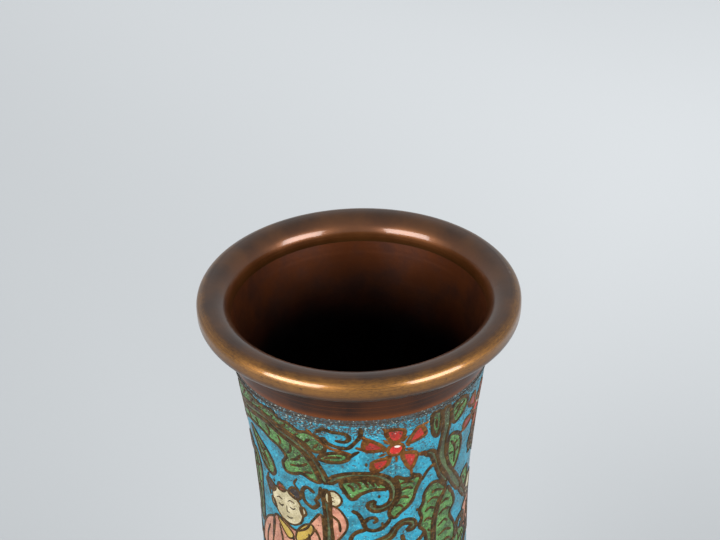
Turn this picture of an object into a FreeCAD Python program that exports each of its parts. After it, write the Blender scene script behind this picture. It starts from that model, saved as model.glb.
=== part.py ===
import FreeCAD, Part
import math
import os

import Sketcher
from FreeCAD import Vector

# A free-standing baluster vase of bronze with enamel fired into its recessed outside.
# Z is up, the origin is the middle of the face the foot rests on, and all sizes are in mm.
# The bronze is raised in sections: foot rim, foot, waist ring, belly, shoulder, neck ring,
# neck and lip. Each section seats on the one below and a spigot or lap is soldered inside it.
# The enamel lies in a shallow recess of the bronze, divided by soldered wires.

SIZES = [
    # heights of the sections, from the table up
    ("foot_rim_height", 10.0, "plain ring the vase stands on"),
    ("foot_height", 22.0, "spreading foot above the rim"),
    ("waist_ring_height", 7.0, "bead between foot and belly"),
    ("belly_height", 124.8, "waist ring to the widest level"),
    ("shoulder_height", 54.0, "widest level to the neck ring"),
    ("neck_ring_height", 7.0, "bead between shoulder and neck"),
    ("neck_height", 118.0, "enamelled part of the neck"),
    ("neck_band_height", 17.8, "top of the enamel to the middle of the lip"),
    # radii of the outside
    ("neck_top_radius", 41.8, "neck at the top of the enamel"),
    ("neck_pinch", 5.9, "how much narrower the neck is at its waist"),
    ("neck_waist_drop", 73.0, "top of the enamel down to the neck's waist"),
    ("belly_radius", 84.0, "widest level of the body"),
    ("shoulder_round", 40.0, "radius of the shoulder's curve in section"),
    ("shoulder_land", 5.2, "flat on top of the shoulder, outside the neck"),
    ("waist_radius", 44.0, "body and foot where they meet the waist ring"),
    ("foot_radius", 54.0, "foot rim"),
    ("rim_step", 2.5, "foot rim proud of the foot above it"),
    ("rim_round", 1.5, "rounding of the foot rim's edges"),
    ("neck_ring_overhang", 6.0, "neck ring proud of the neck"),
    ("waist_ring_overhang", 4.0, "waist ring proud of the waist"),
    # lip
    ("lip_width", 10.6, "lip, throat to outer edge"),
    ("lip_thickness", 8.0, "lip, underside to top"),
    ("lip_rise", 3.4, "top of the lip above its middle level"),
    ("lip_edge_round", 3.0, "rounding of the lip's outer edge, above and below"),
    ("lip_throat_round", 6.5, "wide rounding from the lip's top into the throat"),
    ("lip_seat_drop", 2.0, "end of the neck tube below the lip's middle"),
    ("lip_collar_depth", 4.8, "lip's collar below the lip's middle"),
    ("lip_collar_wall", 1.5, "thickness of the lip's collar"),
    # walls, seats and joints
    ("neck_wall", 3.0, "wall of the neck tube"),
    ("body_wall", 3.0, "wall of shoulder and belly"),
    ("foot_wall", 3.6, "wall of the foot"),
    ("neck_step", 1.2, "neck tube's spigot inside its outer face"),
    ("mouth_flange", 3.5, "thickness of the shoulder round its mouth"),
    ("lap_height", 6.0, "lap joint of belly and shoulder"),
    ("lap_wall", 1.2, "shoulder wall outside the lap"),
    ("waist_step", 2.4, "belly spigot inside its outer face"),
    ("waist_spigot_wall", 2.4, "wall of the belly spigot"),
    ("waist_spigot_length", 5.0, "belly spigot inside the foot"),
    ("waist_ledge", 2.0, "floor ledge above the belly spigot"),
    ("foot_step", 1.2, "foot spigot inside its outer face"),
    ("foot_seat", 5.0, "height of the ledge that foot and base plate sit on"),
    ("base_seat", 3.5, "width of that ledge under the base plate"),
    ("base_thickness", 1.6, "base plate"),
    ("solder_gap", 0.05, "room for solder round a spigot"),
    # enamel and wires
    ("enamel_depth", 0.8, "recess for the enamel"),
    ("wire_width", 0.9, "bronze wire between two enamels"),
    ("wire_proud", 0.15, "wire above the enamel"),
    ("strip_width", 1.5, "narrow enamel strip next to plain bronze"),
    ("edge_land", 1.0, "plain bronze between a seat and the enamel"),
    # petals round the shoulder, and round the foot of the belly
    ("petal_count", 12, "petals in each ring"),
    ("petal_heart", 4.0, "inset of a petal's inner cell"),
    ("collar_side", 10.0, "straight side of a shoulder petal"),
    ("collar_arch", 16.0, "pointed arch of a shoulder petal"),
    ("collar_half_width", 10.4, "half the width of a shoulder petal"),
    ("lappet_side", 16.0, "straight side of a belly petal"),
    ("lappet_arch", 17.0, "pointed arch of a belly petal"),
    ("lappet_half_width", 10.8, "half the width of a belly petal"),
]

# Levels and radii that follow from the sizes. A name may use the ones above it.
PROFILE = [
    ("RimTop", "Sizes.foot_rim_height"),
    ("FootTop", "Profile.RimTop + Sizes.foot_height"),
    ("BellyFoot", "Profile.FootTop + Sizes.waist_ring_height"),
    ("Belly", "Profile.BellyFoot + Sizes.belly_height"),
    ("ShoulderTop", "Profile.Belly + Sizes.shoulder_height"),
    ("NeckFoot", "Profile.ShoulderTop + Sizes.neck_ring_height"),
    ("NeckTop", "Profile.NeckFoot + Sizes.neck_height"),
    ("LipMiddle", "Profile.NeckTop + Sizes.neck_band_height"),
    ("LipSeat", "Profile.LipMiddle - Sizes.lip_seat_drop"),
    ("LipCollarFoot", "Profile.LipMiddle - Sizes.lip_collar_depth"),
    # neck: one hollow arc whose centre lies outside the vase, level with the neck's waist
    ("NeckWaist", "Profile.NeckTop - Sizes.neck_waist_drop"),
    ("NeckArc", "(Sizes.neck_pinch ^ 2 + Sizes.neck_waist_drop ^ 2) / (2 * Sizes.neck_pinch)"),
    ("NeckCentre", "Sizes.neck_top_radius - Sizes.neck_pinch + Profile.NeckArc"),
    # foot: one hollow arc, upright where it meets the waist ring
    ("FootEdge", "Sizes.foot_radius - Sizes.rim_step"),
    ("FootSpread", "Profile.FootEdge - Sizes.waist_radius"),
    ("FootArc", "(Profile.FootSpread ^ 2 + Sizes.foot_height ^ 2) / (2 * Profile.FootSpread)"),
    ("FootCentre", "Sizes.waist_radius + Profile.FootArc"),
    # belly: one full arc, upright at the widest level
    ("BellySpread", "Sizes.belly_radius - Sizes.waist_radius"),
    ("BellyArc", "(Profile.BellySpread ^ 2 + Sizes.belly_height ^ 2) / (2 * Profile.BellySpread)"),
    ("BellyCentre", "Sizes.belly_radius - Profile.BellyArc"),
    ("EnamelBelly", "Sizes.belly_radius - Sizes.enamel_depth"),
    ("BellyBore", "Sizes.belly_radius - Sizes.body_wall"),
    ("LapRadius", "Profile.EnamelBelly - Sizes.lap_wall"),
    ("LapTop", "Profile.Belly + Sizes.lap_height"),
]


def neck_at(level, depth="0"):
    """Radius of the neck at a level, at a depth below its surface."""
    return ("(Profile.NeckCentre - sqrt((Profile.NeckArc + {1}) ^ 2"
            " - ({0} - Profile.NeckWaist) ^ 2))").format(level, depth)


def foot_at(level, depth="0"):
    """Radius of the foot at a level, at a depth below its surface."""
    return ("(Profile.FootCentre - sqrt((Profile.FootArc + {1}) ^ 2"
            " - ({0} - Profile.FootTop) ^ 2))").format(level, depth)


def belly_at(level, depth="0"):
    """Radius of the belly at a level, at a depth below its surface."""
    return ("(Profile.BellyCentre + sqrt((Profile.BellyArc - {1}) ^ 2"
            " - ({0} - Profile.Belly) ^ 2))").format(level, depth)


def cone_at(level, depth="0"):
    """Radius of the shoulder's straight slope at a level, at a depth below its surface."""
    return ("(Profile.ShoulderCentre + (Sizes.shoulder_round - {1}"
            " - Profile.ShoulderRise * ({0} - Profile.Belly)) / Profile.ShoulderRun)"
            ).format(level, depth)


def round_at(level, depth="0"):
    """Radius of the shoulder's round part at a level, at a depth below its surface."""
    return ("(Profile.ShoulderCentre + sqrt((Sizes.shoulder_round - {1}) ^ 2"
            " - ({0} - Profile.Belly) ^ 2))").format(level, depth)


def slope_foot(depth="0"):
    """Point where the shoulder's round part runs into its straight slope."""
    return ("Profile.ShoulderCentre + (Sizes.shoulder_round - {0}) * Profile.ShoulderRun".format(depth),
            "Profile.Belly + (Sizes.shoulder_round - {0}) * Profile.ShoulderRise".format(depth))


# Joints, each following from the section it closes.
JOINTS = [
    # neck joint and shoulder mouth
    ("NeckFootRadius", neck_at("Profile.NeckFoot")),
    ("NeckBore", neck_at("Profile.NeckFoot", "Sizes.neck_wall")),
    ("NeckSpigot", "Profile.NeckFootRadius - Sizes.neck_step"),
    ("MouthUnder", "Profile.ShoulderTop - Sizes.mouth_flange"),
    ("ShoulderTopRadius", "Profile.NeckFootRadius + Sizes.shoulder_land"),
    ("ShoulderEdge", "Profile.ShoulderTop - Sizes.edge_land"),
    # shoulder: a round part, upright at the widest level, and the slope that touches it
    ("ShoulderCentre", "Sizes.belly_radius - Sizes.shoulder_round"),
    ("ShoulderOut", "Profile.ShoulderTopRadius - Profile.ShoulderCentre"),
    ("ShoulderReach", "Profile.ShoulderOut ^ 2 + Sizes.shoulder_height ^ 2"),
    ("ShoulderSlope", "sqrt(Profile.ShoulderReach - Sizes.shoulder_round ^ 2)"),
    ("ShoulderRun", "(Sizes.shoulder_round * Profile.ShoulderOut"
                    " + Profile.ShoulderSlope * Sizes.shoulder_height) / Profile.ShoulderReach"),
    ("ShoulderRise", "(Sizes.shoulder_round * Sizes.shoulder_height"
                     " - Profile.ShoulderSlope * Profile.ShoulderOut) / Profile.ShoulderReach"),
    ("CollarEdge", "Profile.ShoulderEdge - Sizes.wire_width * Profile.ShoulderRun"),
    # lip: its collar fits inside the neck tube
    ("LipBore", neck_at("Profile.LipCollarFoot", "Sizes.neck_wall")),
    ("LipCollar", "Profile.LipBore + Sizes.lip_collar_wall"),
    ("LipOutside", "Profile.LipBore + Sizes.lip_width"),
    ("LipTop", "Profile.LipMiddle + Sizes.lip_rise"),
    ("LipUnder", "Profile.LipTop - Sizes.lip_thickness"),
    ("LipGroove", neck_at("Profile.LipSeat") + " + Sizes.solder_gap"),
    # waist and foot
    ("WaistSpigot", "Sizes.waist_radius - Sizes.waist_step"),
    ("WaistBore", "Profile.WaistSpigot - Sizes.waist_spigot_wall"),
    ("WaistSeat", "Profile.FootTop - Sizes.waist_spigot_length"),
    ("BellyLedge", "Profile.BellyFoot + Sizes.waist_ledge"),
    ("FootBore", foot_at("Profile.RimTop", "Sizes.foot_wall")),
    ("FootSpigot", "Profile.FootEdge - Sizes.foot_step"),
    ("RimBore", "Profile.FootBore - Sizes.base_seat"),
    # edges of the enamelled zones
    ("NeckRecess", "Profile.NeckFoot + Sizes.edge_land"),
    ("NeckStripFoot", "Profile.NeckRecess + Sizes.strip_width"),
    ("NeckFieldFoot", "Profile.NeckStripFoot + Sizes.wire_width"),
    ("NeckStripTop", "Profile.NeckTop - Sizes.strip_width"),
    ("NeckFieldTop", "Profile.NeckStripTop - Sizes.wire_width"),
    ("BellyRecess", "Profile.BellyFoot + Sizes.edge_land"),
    ("LappetFoot", "Profile.BellyRecess + Sizes.wire_width"),
    ("FootRecess", "Profile.RimTop + Sizes.edge_land"),
    ("FootStrip", "Profile.FootRecess + Sizes.strip_width"),
    ("FootField", "Profile.FootStrip + Sizes.wire_width"),
    ("FootFieldTop", "Profile.FootTop - Sizes.edge_land"),
]

ON_AXIS = 1e-9       # a corner nearer to a sketch axis than this lies on it

doc = FreeCAD.newDocument("Vase")
pieces = []


def make_sheet():
    """Spreadsheet of the driving sizes: alias, value and what it is, one a row."""
    sheet = doc.addObject("Spreadsheet::Sheet", "Sizes")
    for row, (alias, value, meaning) in enumerate(SIZES, 1):
        sheet.set("A%d" % row, alias)
        sheet.set("B%d" % row, str(value))
        sheet.set("C%d" % row, meaning)
        sheet.setAlias("B%d" % row, alias)
    doc.recompute()
    return sheet


def make_profile():
    """Variable set of the levels and radii worked out from the sheet."""
    profile = doc.addObject("App::VarSet", "Profile")
    for name, expression in PROFILE + JOINTS:
        profile.addProperty("App::PropertyFloat", name, "Profile")
        profile.setExpression(name, expression)
        doc.recompute()
    return profile


def bind(sketch, constraint, name, expression):
    """Add a named constraint to a sketch and drive it by an expression."""
    index = sketch.addConstraint(constraint)
    sketch.renameConstraint(index, name)
    sketch.setExpression("Constraints." + name, expression)


def arc_edge(start, end, radius, turn):
    """Short arc from start to end; turn is 1 for anticlockwise and -1 for clockwise."""
    chord = end - start
    height = math.sqrt(radius ** 2 - (chord.Length / 2) ** 2)
    left = Vector(-chord.y, chord.x, 0).normalize()
    centre = (start + end) / 2 + left * height * turn
    middle = centre - left * radius * turn
    return Part.Arc(start, middle, end)


def draw_outline(sketch, outline):
    """Draw a closed outline whose corners and arc radii are expressions.

    A corner is (across, up), and is reached by a straight edge; (across, up, radius, turn)
    is reached by an arc.
    """
    corners = [Vector(sketch.evalExpression(step[0]), sketch.evalExpression(step[1]), 0)
               for step in outline]
    count = len(outline)
    starts = []
    ends = []
    for index, step in enumerate(outline):
        start = corners[index - 1]
        end = corners[index]
        start_point, end_point = 1, 2
        if len(step) == 4:
            edge = arc_edge(start, end, sketch.evalExpression(step[2]), step[3])
            if step[3] < 0:
                start_point, end_point = 2, 1
        else:
            edge = Part.LineSegment(start, end)
        sketch.addGeometry(edge, False)
        starts.append(start_point)
        ends.append(end_point)
    for index, step in enumerate(outline):
        following = (index + 1) % count
        sketch.addConstraint(Sketcher.Constraint(
            "Coincident", index, ends[index], following, starts[following]))
        for kind, name, expression, value in (
                ("DistanceX", "across", step[0], corners[index].x),
                ("DistanceY", "up", step[1], corners[index].y)):
            if abs(value) < ON_AXIS:
                axis = -2 if kind == "DistanceX" else -1
                sketch.addConstraint(Sketcher.Constraint(
                    "PointOnObject", index, ends[index], axis))
            else:
                bind(sketch, Sketcher.Constraint(kind, -1, 1, index, ends[index], value),
                     "%s%d" % (name, index), expression)
        if len(step) == 4:
            radius = sketch.evalExpression(step[2])
            bind(sketch, Sketcher.Constraint("Radius", index, radius),
                 "arc%d" % index, step[2])


def new_sketch(body, plane_role):
    """Sketch on one of the body's own origin planes."""
    sketch = body.newObject("Sketcher::SketchObject", body.Name + "_sketch")
    plane = [item for item in body.Origin.OriginFeatures if item.Role == plane_role][0]
    sketch.AttachmentSupport = [(plane, "")]
    sketch.MapMode = "FlatFace"
    return sketch


def revolved(name, outline):
    """Body turned about the vase's axis from an outline of (radius, height) corners."""
    body = doc.addObject("PartDesign::Body", name)
    sketch = new_sketch(body, "XZ_Plane")
    draw_outline(sketch, outline)
    turned = body.newObject("PartDesign::Revolution", name + "_turned")
    turned.Profile = sketch
    turned.ReferenceAxis = (sketch, ["V_Axis"])
    turned.Angle = 360
    doc.recompute()
    return body


def piece(item):
    """Count a body or boolean among the pieces that are written out."""
    pieces.append(item)
    return item


def combine(kind, name, base, tool):
    """Part::Cut or Part::Common of two objects."""
    result = doc.addObject(kind, name)
    result.Base = base
    result.Tool = tool
    doc.recompute()
    return result


def face_arc(section, depth):
    """Radius of a section's arc in the meridian plane, at a depth below its surface."""
    radius_at, arc, turn = section
    return "%s %s (%s)" % (arc, "-" if turn > 0 else "+", depth)


def inlay(name, section, low, high, proud="0"):
    """Ring in the enamel recess of one section, between two levels.

    Its back lies on the recess. Its face is level with the bronze, or stands proud of it.
    """
    radius_at, arc, turn = section
    back = "Sizes.enamel_depth"
    face = "(0 - %s)" % proud
    first = (radius_at(low, back), low)
    third = (radius_at(high, face), high)
    if arc:
        first += (face_arc(section, back), -turn)
        third += (face_arc(section, face), turn)
    return revolved(name, [
        first,
        (radius_at(low, face), low),
        third,
        (radius_at(high, back), high),
    ])


def bead(name, bore, outside, low, high):
    """Plain ring with a half-round outside."""
    half = "(%s - %s) / 2" % (high, low)
    middle = "(%s + %s) / 2" % (low, high)
    crest = "%s - %s" % (outside, half)
    return revolved(name, [
        (bore, low),
        (crest, low),
        (outside, middle, half, 1),
        (crest, high, half, 1),
        (bore, high),
    ])


# A section of the vase: its radius at a level, the arc of its meridian, and the way it turns
# from bottom to top: 1 is anticlockwise (full) and -1 clockwise (hollow).
NECK = (neck_at, "Profile.NeckArc", -1)
FOOT = (foot_at, "Profile.FootArc", -1)
BELLY = (belly_at, "Profile.BellyArc", 1)
SLOPE = (cone_at, None, 0)


def lip_ring():
    """Rolled lip, wide round inside, on a collar and grooved underneath for the neck tube."""
    outside = "Profile.LipOutside"
    edge = "Sizes.lip_edge_round"
    turn = "Sizes.lip_throat_round"
    return revolved("lip_ring", [
        ("Profile.LipBore", "Profile.LipCollarFoot"),
        ("Profile.LipCollar", "Profile.LipCollarFoot"),
        ("Profile.LipCollar", "Profile.LipSeat"),
        ("Profile.LipGroove", "Profile.LipSeat"),
        ("Profile.LipGroove", "Profile.LipUnder"),
        (outside + " - " + edge, "Profile.LipUnder"),
        (outside, "Profile.LipUnder + " + edge, edge, 1),
        (outside, "Profile.LipTop - " + edge),
        (outside + " - " + edge, "Profile.LipTop", edge, 1),
        ("Profile.LipBore + " + turn, "Profile.LipTop"),
        ("Profile.LipBore", "Profile.LipTop - " + turn, turn, 1),
    ])


def neck_tube():
    """Waisted tube, recessed for enamel, with a spigot below and a rebate for the lip above."""
    back = "Sizes.enamel_depth"
    wall = "Sizes.neck_wall"
    collar = "Profile.LipCollar + Sizes.solder_gap"
    return revolved("neck_tube", [
        ("Profile.NeckBore", "Profile.MouthUnder"),
        ("Profile.NeckSpigot", "Profile.MouthUnder"),
        ("Profile.NeckSpigot", "Profile.NeckFoot"),
        ("Profile.NeckFootRadius", "Profile.NeckFoot"),
        (neck_at("Profile.NeckRecess"), "Profile.NeckRecess", face_arc(NECK, "0"), -1),
        (neck_at("Profile.NeckRecess", back), "Profile.NeckRecess"),
        (neck_at("Profile.NeckTop", back), "Profile.NeckTop", face_arc(NECK, back), -1),
        (neck_at("Profile.NeckTop"), "Profile.NeckTop"),
        (neck_at("Profile.LipSeat"), "Profile.LipSeat", face_arc(NECK, "0"), -1),
        (collar, "Profile.LipSeat"),
        (collar, "Profile.LipCollarFoot"),
        ("Profile.LipBore", "Profile.LipCollarFoot"),
        ("Profile.NeckBore", "Profile.NeckFoot", face_arc(NECK, wall), 1),
    ])


def shoulder_shell():
    """Upper body: a round shoulder and a slope up to a flat mouth that holds the neck."""
    back = "Sizes.enamel_depth"
    wall = "Sizes.body_wall"
    mouth = "Profile.NeckSpigot + Sizes.solder_gap"
    return revolved("shoulder_shell", [
        ("Profile.LapRadius", "Profile.Belly"),
        ("Profile.EnamelBelly", "Profile.Belly"),
        slope_foot(back) + ("Sizes.shoulder_round - " + back, 1),
        (cone_at("Profile.ShoulderEdge", back), "Profile.ShoulderEdge"),
        (cone_at("Profile.ShoulderEdge"), "Profile.ShoulderEdge"),
        ("Profile.ShoulderTopRadius", "Profile.ShoulderTop"),
        (mouth, "Profile.ShoulderTop"),
        (mouth, "Profile.MouthUnder"),
        (cone_at("Profile.MouthUnder", wall), "Profile.MouthUnder"),
        slope_foot(wall),
        (round_at("Profile.LapTop", wall), "Profile.LapTop", "Sizes.shoulder_round - " + wall, -1),
        ("Profile.LapRadius", "Profile.LapTop"),
    ])


def belly_shell():
    """Lower body: tapers to a spigot in the foot, and laps inside the shoulder at the top."""
    back = "Sizes.enamel_depth"
    wall = "Sizes.body_wall"
    lap = "Profile.LapRadius - Sizes.solder_gap"
    return revolved("belly_shell", [
        ("Profile.WaistBore", "Profile.WaistSeat"),
        ("Profile.WaistSpigot", "Profile.WaistSeat"),
        ("Profile.WaistSpigot", "Profile.BellyFoot"),
        ("Sizes.waist_radius", "Profile.BellyFoot"),
        (belly_at("Profile.BellyRecess"), "Profile.BellyRecess", face_arc(BELLY, "0"), 1),
        (belly_at("Profile.BellyRecess", back), "Profile.BellyRecess"),
        ("Profile.EnamelBelly", "Profile.Belly", face_arc(BELLY, back), 1),
        (lap, "Profile.Belly"),
        (lap, "Profile.LapTop"),
        ("Profile.BellyBore", "Profile.LapTop"),
        ("Profile.BellyBore", "Profile.Belly"),
        (belly_at("Profile.BellyLedge", wall), "Profile.BellyLedge", face_arc(BELLY, wall), -1),
        ("Profile.WaistBore", "Profile.BellyLedge"),
    ])


def foot_shell():
    """Spreading foot between the waist ring and the foot rim."""
    back = "Sizes.enamel_depth"
    wall = "Sizes.foot_wall"
    mouth = "Profile.WaistSpigot + Sizes.solder_gap"
    return revolved("foot_shell", [
        ("Profile.FootBore", "Sizes.foot_seat"),
        ("Profile.FootSpigot", "Sizes.foot_seat"),
        ("Profile.FootSpigot", "Profile.RimTop"),
        ("Profile.FootEdge", "Profile.RimTop"),
        (foot_at("Profile.FootRecess"), "Profile.FootRecess", face_arc(FOOT, "0"), -1),
        (foot_at("Profile.FootRecess", back), "Profile.FootRecess"),
        (foot_at("Profile.FootFieldTop", back), "Profile.FootFieldTop", face_arc(FOOT, back), -1),
        (foot_at("Profile.FootFieldTop"), "Profile.FootFieldTop"),
        ("Sizes.waist_radius", "Profile.FootTop", face_arc(FOOT, "0"), -1),
        (mouth, "Profile.FootTop"),
        (mouth, "Profile.WaistSeat"),
        (foot_at("Profile.WaistSeat", wall), "Profile.WaistSeat"),
        ("Profile.FootBore", "Profile.RimTop", face_arc(FOOT, wall), 1),
    ])


def foot_rim():
    """Solid ring the vase stands on, with a ledge inside for the foot and the base plate."""
    outside = "Sizes.foot_radius"
    turn = "Sizes.rim_round"
    socket = "Profile.FootSpigot + Sizes.solder_gap"
    return revolved("foot_rim", [
        ("Profile.RimBore", "0"),
        (outside + " - " + turn, "0"),
        (outside, turn, turn, 1),
        (outside, "Profile.RimTop - " + turn),
        (outside + " - " + turn, "Profile.RimTop", turn, 1),
        (socket, "Profile.RimTop"),
        (socket, "Sizes.foot_seat"),
        ("Profile.RimBore", "Sizes.foot_seat"),
    ])


def base_plate():
    """Disc that closes the vase, on the foot rim's ledge inside the foot."""
    body = doc.addObject("PartDesign::Body", "base_plate")
    sketch = new_sketch(body, "XY_Plane")
    sketch.setExpression("AttachmentOffset.Base.z", "Sizes.foot_seat")
    radius = "Profile.FootBore - Sizes.solder_gap"
    circle = Part.Circle(Vector(0, 0, 0), Vector(0, 0, 1), sketch.evalExpression(radius))
    sketch.addGeometry(circle, False)
    sketch.addConstraint(Sketcher.Constraint("Coincident", 0, 3, -1, 1))
    bind(sketch, Sketcher.Constraint("Radius", 0, circle.Radius), "disc", radius)
    pad = body.newObject("PartDesign::Pad", "base_plate_pad")
    pad.Profile = sketch
    pad.setExpression("Length", "Sizes.base_thickness")
    doc.recompute()
    return body


def petals(name, plane_role, foot, side, arch, half_width, inset, reach):
    """Ring of pointed petals as prisms, all joined at the vase's axis.

    A petal starts at foot, runs straight for its side and ends in a pointed arch of two arcs.
    inset draws it smaller all round. reach is the length of the prisms.
    """
    across = plane_role == "YZ_Plane"
    spring = "(%s + %s)" % (foot, side)
    full_round = "((%s ^ 2 + %s ^ 2) / (2 * %s))" % (arch, half_width, half_width)
    turn_radius = "(%s - %s)" % (full_round, inset)
    half = "(%s - %s)" % (half_width, inset)
    back = "(0 - %s)" % half
    tip = "(%s + sqrt(%s ^ 2 - (%s - %s) ^ 2))" % (spring, turn_radius, full_round, half_width)
    start = "(%s + %s)" % (foot, inset) if across else "0"
    if across:
        outline = [(back, start), (back, spring), ("0", tip, turn_radius, -1),
                   (half, spring, turn_radius, -1), (half, start)]
    else:
        outline = [(start, back), (spring, back), (tip, "0", turn_radius, 1),
                   (spring, half, turn_radius, 1), (start, half)]
    body = doc.addObject("PartDesign::Body", name)
    sketch = new_sketch(body, plane_role)
    draw_outline(sketch, outline)
    prism = body.newObject("PartDesign::Pad", name + "_prism")
    prism.Profile = sketch
    prism.setExpression("Length", reach)
    doc.recompute()
    ring = body.newObject("PartDesign::PolarPattern", name + "_ring")
    ring.Originals = [prism]
    axis = [item for item in body.Origin.OriginFeatures if item.Role == "Z_Axis"][0]
    ring.Axis = (axis, [""])
    ring.Angle = 360
    ring.setExpression("Occurrences", "Sizes.petal_count")
    body.Tip = ring
    doc.recompute()
    return body


def petal_set(prefix, ring, proud_ring, plane_role, foot, side, arch, half_width, reach):
    """Four nested rings of petals cut from an enamel ring, and the ground left between them."""
    insets = {
        "outline": "0",
        "cell": "Sizes.wire_width",
        "heart": "Sizes.petal_heart",
        "core": "(Sizes.petal_heart + Sizes.wire_width)",
    }
    tools = {key: petals("%s_%s_tool" % (prefix, key), plane_role, foot, side, arch,
                         half_width, inset, reach)
             for key, inset in insets.items()}

    def between(name, kind_ring, outer, inner):
        frame = combine("Part::Cut", name + "_frame", tools[outer], tools[inner])
        return combine("Part::Common", name, kind_ring, frame)

    piece(between(prefix + "_wires", proud_ring, "outline", "cell"))
    piece(between(prefix + "_enamel", ring, "cell", "heart"))
    piece(between(prefix + "_heart_wires", proud_ring, "heart", "core"))
    piece(combine("Part::Common", prefix + "_heart_enamel", ring, tools["core"]))
    return tools["outline"]


def shoulder_ring(name, proud="0"):
    """Enamel ring over the whole shoulder, from the widest level to the collar's edge wire."""
    back = "Sizes.enamel_depth"
    face = "(0 - %s)" % proud
    return revolved(name, [
        ("Profile.EnamelBelly", "Profile.Belly", "Sizes.shoulder_round - " + back, -1),
        ("Sizes.belly_radius - " + face, "Profile.Belly"),
        slope_foot(face) + ("Sizes.shoulder_round - " + face, 1),
        (cone_at("Profile.CollarEdge", face), "Profile.CollarEdge"),
        (cone_at("Profile.CollarEdge", back), "Profile.CollarEdge"),
        slope_foot(back),
    ])


def write_pieces():
    """Check every object and every piece, then write each piece to its own file."""
    for item in doc.Objects:
        if "Invalid" in item.State or "Error" in item.State:
            raise RuntimeError("%s failed: %s" % (item.Name, item.State))
    os.makedirs("parts", exist_ok=True)
    for item in pieces:
        shape = item.Shape
        if shape.isNull() or not shape.isValid() or not shape.Solids:
            raise RuntimeError("%s has no sound solid" % item.Label)
        shape.exportStep("parts/%s.step" % item.Label)
        print("%-24s %3d solids %12.1f mm3" % (item.Label, len(shape.Solids), shape.Volume))


make_sheet()
make_profile()

for build in (foot_rim, base_plate, foot_shell, belly_shell, shoulder_shell, neck_tube, lip_ring):
    piece(build())

piece(bead("waist_ring", "Profile.WaistSpigot + Sizes.solder_gap",
           "Sizes.waist_radius + Sizes.waist_ring_overhang", "Profile.FootTop", "Profile.BellyFoot"))
piece(bead("neck_ring", "Profile.NeckSpigot + Sizes.solder_gap",
           "Profile.NeckFootRadius + Sizes.neck_ring_overhang",
           "Profile.ShoulderTop", "Profile.NeckFoot"))

WIRE = "Sizes.wire_proud"
for name, section, low, high, proud in (
        ("foot_strip_enamel", FOOT, "Profile.FootRecess", "Profile.FootStrip", "0"),
        ("foot_edge_wire", FOOT, "Profile.FootStrip", "Profile.FootField", WIRE),
        ("foot_field_enamel", FOOT, "Profile.FootField", "Profile.FootFieldTop", "0"),
        ("lappet_foot_wire", BELLY, "Profile.BellyRecess", "Profile.LappetFoot", WIRE),
        ("collar_edge_wire", SLOPE, "Profile.CollarEdge", "Profile.ShoulderEdge", WIRE),
        ("neck_foot_enamel", NECK, "Profile.NeckRecess", "Profile.NeckStripFoot", "0"),
        ("neck_foot_wire", NECK, "Profile.NeckStripFoot", "Profile.NeckFieldFoot", WIRE),
        ("neck_field_enamel", NECK, "Profile.NeckFieldFoot", "Profile.NeckFieldTop", "0"),
        ("neck_edge_wire", NECK, "Profile.NeckFieldTop", "Profile.NeckStripTop", WIRE),
        ("neck_edge_enamel", NECK, "Profile.NeckStripTop", "Profile.NeckTop", "0")):
    piece(inlay(name, section, low, high, proud))

shoulder_enamel = shoulder_ring("shoulder_enamel_ring")
collar = petal_set("collar", shoulder_enamel, shoulder_ring("shoulder_wire_ring", WIRE),
                   "XY_Plane", cone_at("Profile.CollarEdge"), "Sizes.collar_side",
                   "Sizes.collar_arch", "Sizes.collar_half_width", "Profile.ShoulderTop")
piece(combine("Part::Cut", "shoulder_field_enamel", shoulder_enamel, collar))

belly_enamel = inlay("belly_enamel_ring", BELLY, "Profile.LappetFoot", "Profile.Belly")
lappet = petal_set("lappet", belly_enamel,
                   inlay("belly_wire_ring", BELLY, "Profile.LappetFoot", "Profile.Belly", WIRE),
                   "YZ_Plane", "Profile.LappetFoot", "Sizes.lappet_side",
                   "Sizes.lappet_arch", "Sizes.lappet_half_width", "Sizes.belly_radius")
piece(combine("Part::Cut", "belly_field_enamel", belly_enamel, lappet))

doc.recompute()
write_pieces()
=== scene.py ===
import math

import bpy
import numpy as np
from mathutils import Matrix, Vector
from mathutils.geometry import delaunay_2d_cdt


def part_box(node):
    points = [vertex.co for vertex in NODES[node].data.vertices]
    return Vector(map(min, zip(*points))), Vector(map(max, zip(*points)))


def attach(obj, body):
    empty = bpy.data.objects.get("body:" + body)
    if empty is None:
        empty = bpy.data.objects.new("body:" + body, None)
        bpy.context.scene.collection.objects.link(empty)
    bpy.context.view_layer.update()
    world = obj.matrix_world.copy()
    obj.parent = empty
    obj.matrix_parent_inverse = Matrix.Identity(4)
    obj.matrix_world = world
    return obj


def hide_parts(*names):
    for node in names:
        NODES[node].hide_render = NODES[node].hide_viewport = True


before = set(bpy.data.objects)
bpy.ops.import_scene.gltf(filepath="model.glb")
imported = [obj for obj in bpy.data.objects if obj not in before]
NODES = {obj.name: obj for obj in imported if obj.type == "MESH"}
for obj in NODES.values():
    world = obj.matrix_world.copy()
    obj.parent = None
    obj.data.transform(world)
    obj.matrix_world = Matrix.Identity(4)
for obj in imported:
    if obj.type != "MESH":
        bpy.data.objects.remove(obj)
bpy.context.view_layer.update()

# Lengths are in metres, like the frame; art is drawn in millimetres and scaled by MM.
MM = 0.001
ROUND = 384                 # facets round the vase in the pieces turned here

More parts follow.
